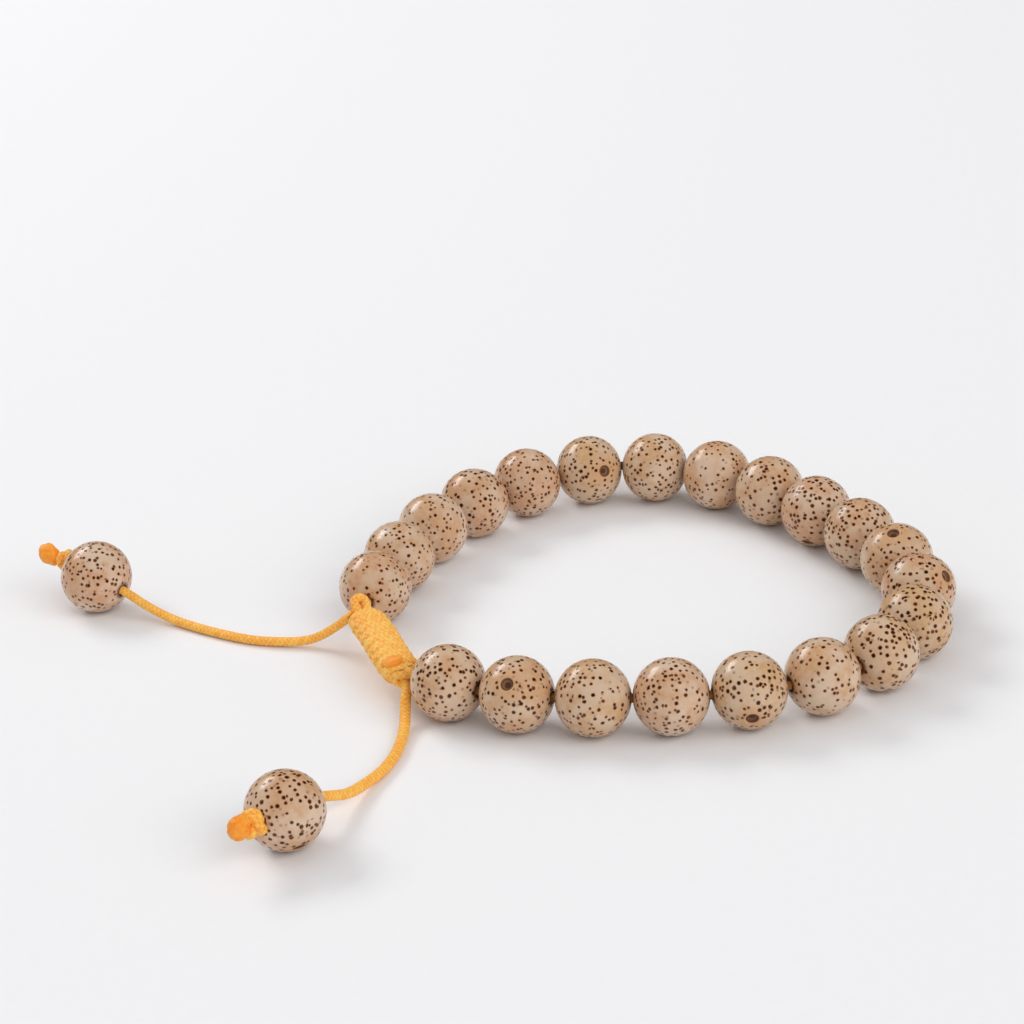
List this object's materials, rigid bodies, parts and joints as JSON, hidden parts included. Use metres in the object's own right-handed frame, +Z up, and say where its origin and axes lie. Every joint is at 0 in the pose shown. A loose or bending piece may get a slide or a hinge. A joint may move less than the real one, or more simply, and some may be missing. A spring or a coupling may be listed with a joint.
{
  "type": "wrist mala",
  "caption": "Wrist mala of round seed beads on a braided cord, closed by a sliding macrame knot, with an end bead and a stopper knot on each tail.",
  "frame": {"origin": "bottom centre of the loop's box, on the surface that the beads lie on, without the two tails", "axes": "+Z up out of the loop; the sliding knot is on the -X side and its band runs along Y; +X is the far side of the loop"},
  "size_m": [0.0951, 0.0765, 0.0085],
  "materials": {
    "seed": "polished, waxed, with dark pores",
    "cord": "braided nylon, satin",
    "melted_cord": "melted nylon, semi-gloss"
  },
  "bodies": {
    "far_loop": {"loop_cord_far": "cord", "knot_band": "cord", "knot_core_front": "cord", "knot_core_back": "cord", "knot_loop_end": "cord", "knot_cut_end": "melted_cord", "link_cord_front": "cord", "link_cord_back": "cord"},
    "front_arm": {"loop_cord_front": "cord"},
    "back_arm": {"loop_cord_back": "cord"},
    "front_tail": {"tail_cord_front": "cord", "stopper_knot_front": "cord", "melted_tip_front": "melted_cord"},
    "left_tail": {"tail_cord_left": "cord", "stopper_knot_left": "cord", "melted_tip_left": "melted_cord"},
    "bead_01": {"bead_01": "seed"},
    "bead_02": {"bead_02": "seed"},
    "bead_03": {"bead_03": "seed"},
    "bead_04": {"bead_04": "seed"},
    "bead_05": {"bead_05": "seed"},
    "bead_06": {"bead_06": "seed"},
    "bead_07": {"bead_07": "seed"},
    "bead_08": {"bead_08": "seed"},
    "bead_09": {"bead_09": "seed"},
    "bead_10": {"bead_10": "seed"},
    "bead_11": {"bead_11": "seed"},
    "bead_12": {"bead_12": "seed"},
    "bead_13": {"bead_13": "seed"},
    "bead_14": {"bead_14": "seed"},
    "bead_15": {"bead_15": "seed"},
    "bead_16": {"bead_16": "seed"},
    "bead_17": {"bead_17": "seed"},
    "bead_18": {"bead_18": "seed"},
    "bead_19": {"bead_19": "seed"},
    "bead_20": {"bead_20": "seed"},
    "bead_21": {"bead_21": "seed"},
    "end_bead_front": {"end_bead_front": "seed"},
    "end_bead_left": {"end_bead_left": "seed"}
  },
  "joints": [
    {"name": "loop_opens_front", "type": "hinge", "parent": "far_loop", "child": "front_arm", "pos_m": [0.02105, -0.02842, 0.00425], "axis": [0, 0, 1], "range_deg": [0, 22], "deforming": ["link_cord_front"]},
    {"name": "loop_opens_back", "type": "hinge", "parent": "far_loop", "child": "back_arm", "pos_m": [0.01191, 0.03101, 0.00425], "axis": [0, 0, -1], "range_deg": [0, 22], "deforming": ["link_cord_back"]},
    {"name": "tail_draws_in_front", "type": "slide", "parent": "far_loop", "child": "front_tail", "axis": [0.4624, 0.8867, 0], "range_m": [0, 0.021], "deforming": ["tail_cord_front"]},
    {"name": "tail_draws_in_left", "type": "slide", "parent": "far_loop", "child": "left_tail", "axis": [0.6902, -0.7236, 0], "range_m": [0, 0.021], "deforming": ["tail_cord_left"]},
    {"name": "bead_01_spin", "type": "hinge", "parent": "front_arm", "child": "bead_01", "pos_m": [-0.02771, -0.0143, 0.00425], "axis": [0.5709, -0.821, 0], "continuous": true},
    {"name": "bead_02_spin", "type": "hinge", "parent": "front_arm", "child": "bead_02", "pos_m": [-0.02197, -0.02041, 0.00425], "axis": [0.784, -0.6208, 0], "continuous": true},
    {"name": "bead_03_spin", "type": "hinge", "parent": "front_arm", "child": "bead_03", "pos_m": [-0.01492, -0.02507, 0.00425], "axis": [0.8779, -0.4789, 0], "continuous": true},
    {"name": "bead_04_spin", "type": "hinge", "parent": "front_arm", "child": "bead_04", "pos_m": [-0.0073, -0.02876, 0.00425], "axis": [0.921, -0.3897, 0], "continuous": true},
    {"name": "bead_05_spin", "type": "hinge", "parent": "front_arm", "child": "bead_05", "pos_m": [0.00073, -0.03139, 0.00425], "axis": [0.973, -0.2307, 0], "continuous": true},
    {"name": "bead_06_spin", "type": "hinge", "parent": "front_arm", "child": "bead_06", "pos_m": [0.0091, -0.03215, 0.00425], "axis": [0.9987, 0.0515, 0], "continuous": true},
    {"name": "bead_07_spin", "type": "hinge", "parent": "front_arm", "child": "bead_07", "pos_m": [0.01719, -0.03018, 0.00425], "axis": [0.9106, 0.4134, 0], "continuous": true},
    {"name": "bead_08_spin", "type": "hinge", "parent": "far_loop", "child": "bead_08", "pos_m": [0.02387, -0.02526, 0.00425], "axis": [0.6654, 0.7465, 0], "continuous": true},
    {"name": "bead_09_spin", "type": "hinge", "parent": "far_loop", "child": "bead_09", "pos_m": [0.02808, -0.01809, 0.00425], "axis": [0.3273, 0.9449, 0], "continuous": true},
    {"name": "bead_10_spin", "type": "hinge", "parent": "far_loop", "child": "bead_10", "pos_m": [0.02955, -0.00984, 0.00425], "axis": [0.0194, 0.9998, 0], "continuous": true},
    {"name": "bead_11_spin", "type": "hinge", "parent": "far_loop", "child": "bead_11", "pos_m": [0.02893, -0.00142, 0.00425], "axis": [-0.1649, 0.9863, 0], "continuous": true},
    {"name": "bead_12_spin", "type": "hinge", "parent": "far_loop", "child": "bead_12", "pos_m": [0.02728, 0.00689, 0.00425], "axis": [-0.2263, 0.974, 0], "continuous": true},
    {"name": "bead_13_spin", "type": "hinge", "parent": "far_loop", "child": "bead_13", "pos_m": [0.02492, 0.01503, 0.00425], "axis": [-0.3296, 0.9441, 0], "continuous": true},
    {"name": "bead_14_spin", "type": "hinge", "parent": "far_loop", "child": "bead_14", "pos_m": [0.02116, 0.02255, 0.00425], "axis": [-0.556, 0.8312, 0], "continuous": true},
    {"name": "bead_15_spin", "type": "hinge", "parent": "far_loop", "child": "bead_15", "pos_m": [0.01536, 0.02854, 0.00425], "axis": [-0.8133, 0.5819, 0], "continuous": true},
    {"name": "bead_16_spin", "type": "hinge", "parent": "back_arm", "child": "bead_16", "pos_m": [0.00777, 0.03192, 0.00425], "axis": [-0.9767, 0.2147, 0], "continuous": true},
    {"name": "bead_17_spin", "type": "hinge", "parent": "back_arm", "child": "bead_17", "pos_m": [-0.00056, 0.03213, 0.00425], "axis": [-0.9864, -0.1642, 0], "continuous": true},
    {"name": "bead_18_spin", "type": "hinge", "parent": "back_arm", "child": "bead_18", "pos_m": [-0.00852, 0.02952, 0.00425], "axis": [-0.8923, -0.4515, 0], "continuous": true},
    {"name": "bead_19_spin", "type": "hinge", "parent": "back_arm", "child": "bead_19", "pos_m": [-0.01563, 0.02498, 0.00425], "axis": [-0.7838, -0.6211, 0], "continuous": true},
    {"name": "bead_20_spin", "type": "hinge", "parent": "back_arm", "child": "bead_20", "pos_m": [-0.02188, 0.01928, 0.00425], "axis": [-0.691, -0.7229, 0], "continuous": true},
    {"name": "bead_21_spin", "type": "hinge", "parent": "back_arm", "child": "bead_21", "pos_m": [-0.02714, 0.01267, 0.00425], "axis": [-0.5493, -0.8356, 0], "continuous": true},
    {"name": "end_bead_front_spin", "type": "hinge", "parent": "front_tail", "child": "end_bead_front", "pos_m": [-0.0522, -0.0329, 0.00425], "axis": [-0.853, -0.5005, 0.1478], "continuous": true},
    {"name": "end_bead_left_spin", "type": "hinge", "parent": "left_tail", "child": "end_bead_left", "pos_m": [-0.0561, 0.0317, 0.00425], "axis": [-0.542, 0.8097, 0.225], "continuous": true}
  ],
  "couplings": [
    {"joint": "loop_opens_back", "follows": "loop_opens_front", "ratio": 1},
    {"joint": "tail_draws_in_front", "follows": "loop_opens_front", "m_per_rad": 0.0546},
    {"joint": "tail_draws_in_left", "follows": "loop_opens_front", "m_per_rad": 0.0546}
  ]
}
